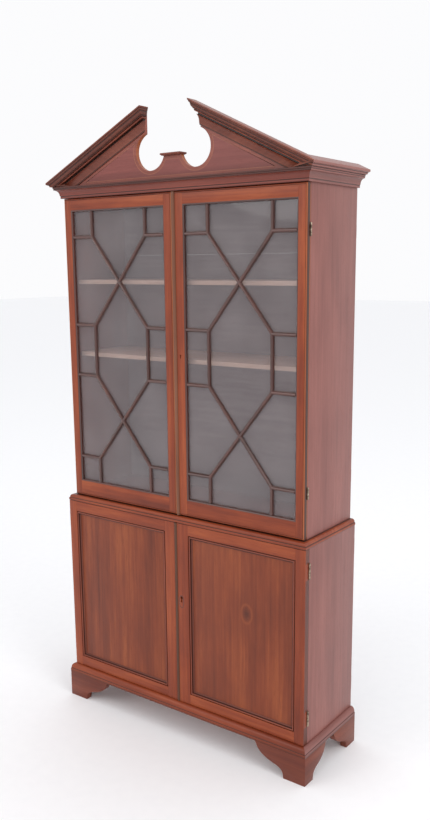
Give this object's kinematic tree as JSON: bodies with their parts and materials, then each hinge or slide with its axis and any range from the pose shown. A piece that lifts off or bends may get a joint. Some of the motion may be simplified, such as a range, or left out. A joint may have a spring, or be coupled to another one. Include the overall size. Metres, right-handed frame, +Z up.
{
  "type": "miniature glazed bookcase",
  "caption": "Miniature mahogany bookcase: glazed doors over a panelled cupboard on bracket feet, with a broken pediment.",
  "frame": {"origin": "on the floor, under the middle of the overall box", "axes": "+Z up, doors face -Y, +X to the right-hand side seen from the front"},
  "size_m": [0.448, 0.1436, 0.89],
  "materials": {
    "front_mahogany": "french polished",
    "side_mahogany": "french polished",
    "moulding_mahogany": "french polished",
    "panel_mahogany": "french polished",
    "shelf_wood": "satin",
    "back_board": "matt",
    "glass": "clear",
    "brass": "aged",
    "lock_steel": "dull"
  },
  "bodies": {
    "carcass": {"base_top_board": "front_mahogany", "pediment_tympanum": "front_mahogany", "base_left_side": "side_mahogany", "base_right_side": "side_mahogany", "base_bottom_board": "side_mahogany", "case_left_side": "side_mahogany", "case_right_side": "side_mahogany", "case_bottom_board": "side_mahogany", "case_top_board": "side_mahogany", "plinth_moulding_front": "moulding_mahogany", "plinth_moulding_left": "moulding_mahogany", "plinth_moulding_right": "moulding_mahogany", "front_left_foot": "moulding_mahogany", "front_right_foot": "moulding_mahogany", "rear_left_foot": "moulding_mahogany", "rear_right_foot": "moulding_mahogany", "cornice_front": "moulding_mahogany", "cornice_left": "moulding_mahogany", "cornice_right": "moulding_mahogany", "raking_moulding_left": "moulding_mahogany", "raking_moulding_right": "moulding_mahogany", "pedestal_cap": "moulding_mahogany", "base_back_panel": "back_board", "back_board_lower": "back_board", "back_board_upper": "back_board", "base_shelf": "shelf_wood", "lower_shelf": "shelf_wood", "upper_shelf": "shelf_wood", "upper_left_top_hinge_case_leaf": "brass", "upper_left_bottom_hinge_case_leaf": "brass", "upper_right_top_hinge_case_leaf": "brass", "upper_right_bottom_hinge_case_leaf": "brass", "lower_left_top_hinge_case_leaf": "brass", "lower_left_bottom_hinge_case_leaf": "brass", "lower_right_top_hinge_case_leaf": "brass", "lower_right_bottom_hinge_case_leaf": "brass"},
    "upper_left_door": {"upper_left_door_frame": "front_mahogany", "upper_left_glazing_bars": "moulding_mahogany", "upper_left_glass": "glass", "upper_left_top_hinge_door_leaf": "brass", "upper_left_bottom_hinge_door_leaf": "brass"},
    "upper_right_door": {"upper_right_door_frame": "front_mahogany", "upper_right_glazing_bars": "moulding_mahogany", "upper_right_glass": "glass", "upper_right_meeting_bead": "moulding_mahogany", "upper_lock_case": "lock_steel", "upper_right_top_hinge_door_leaf": "brass", "upper_right_bottom_hinge_door_leaf": "brass"},
    "lower_left_door": {"lower_left_door_frame": "front_mahogany", "lower_left_panel": "panel_mahogany", "lower_left_top_hinge_door_leaf": "brass", "lower_left_bottom_hinge_door_leaf": "brass"},
    "lower_right_door": {"lower_right_door_frame": "front_mahogany", "lower_right_panel": "panel_mahogany", "lower_right_meeting_bead": "moulding_mahogany", "lower_lock_case": "lock_steel", "lower_right_top_hinge_door_leaf": "brass", "lower_right_bottom_hinge_door_leaf": "brass"},
    "upper_lock_bolt": {"upper_lock_bolt": "brass"},
    "lower_lock_bolt": {"lower_lock_bolt": "brass"}
  },
  "joints": [
    {"name": "upper_left_door_hinge", "type": "hinge", "parent": "carcass", "child": "upper_left_door", "pos_m": [-0.2066, -0.046, 0.5586], "axis": [0, 0, -1], "range_deg": [0, 150]},
    {"name": "upper_right_door_hinge", "type": "hinge", "parent": "carcass", "child": "upper_right_door", "pos_m": [0.2066, -0.046, 0.5586], "axis": [0, 0, 1], "range_deg": [0, 150]},
    {"name": "lower_left_door_hinge", "type": "hinge", "parent": "carcass", "child": "lower_left_door", "pos_m": [-0.2141, -0.0525, 0.1905], "axis": [0, 0, -1], "range_deg": [0, 150]},
    {"name": "lower_right_door_hinge", "type": "hinge", "parent": "carcass", "child": "lower_right_door", "pos_m": [0.2141, -0.0525, 0.1905], "axis": [0, 0, 1], "range_deg": [0, 150]},
    {"name": "upper_lock_bolt_slide", "type": "slide", "parent": "upper_right_door", "child": "upper_lock_bolt", "axis": [-1, 0, 0], "range_m": [0, 0.004]},
    {"name": "lower_lock_bolt_slide", "type": "slide", "parent": "lower_right_door", "child": "lower_lock_bolt", "axis": [-1, 0, 0], "range_m": [0, 0.004]}
  ]
}
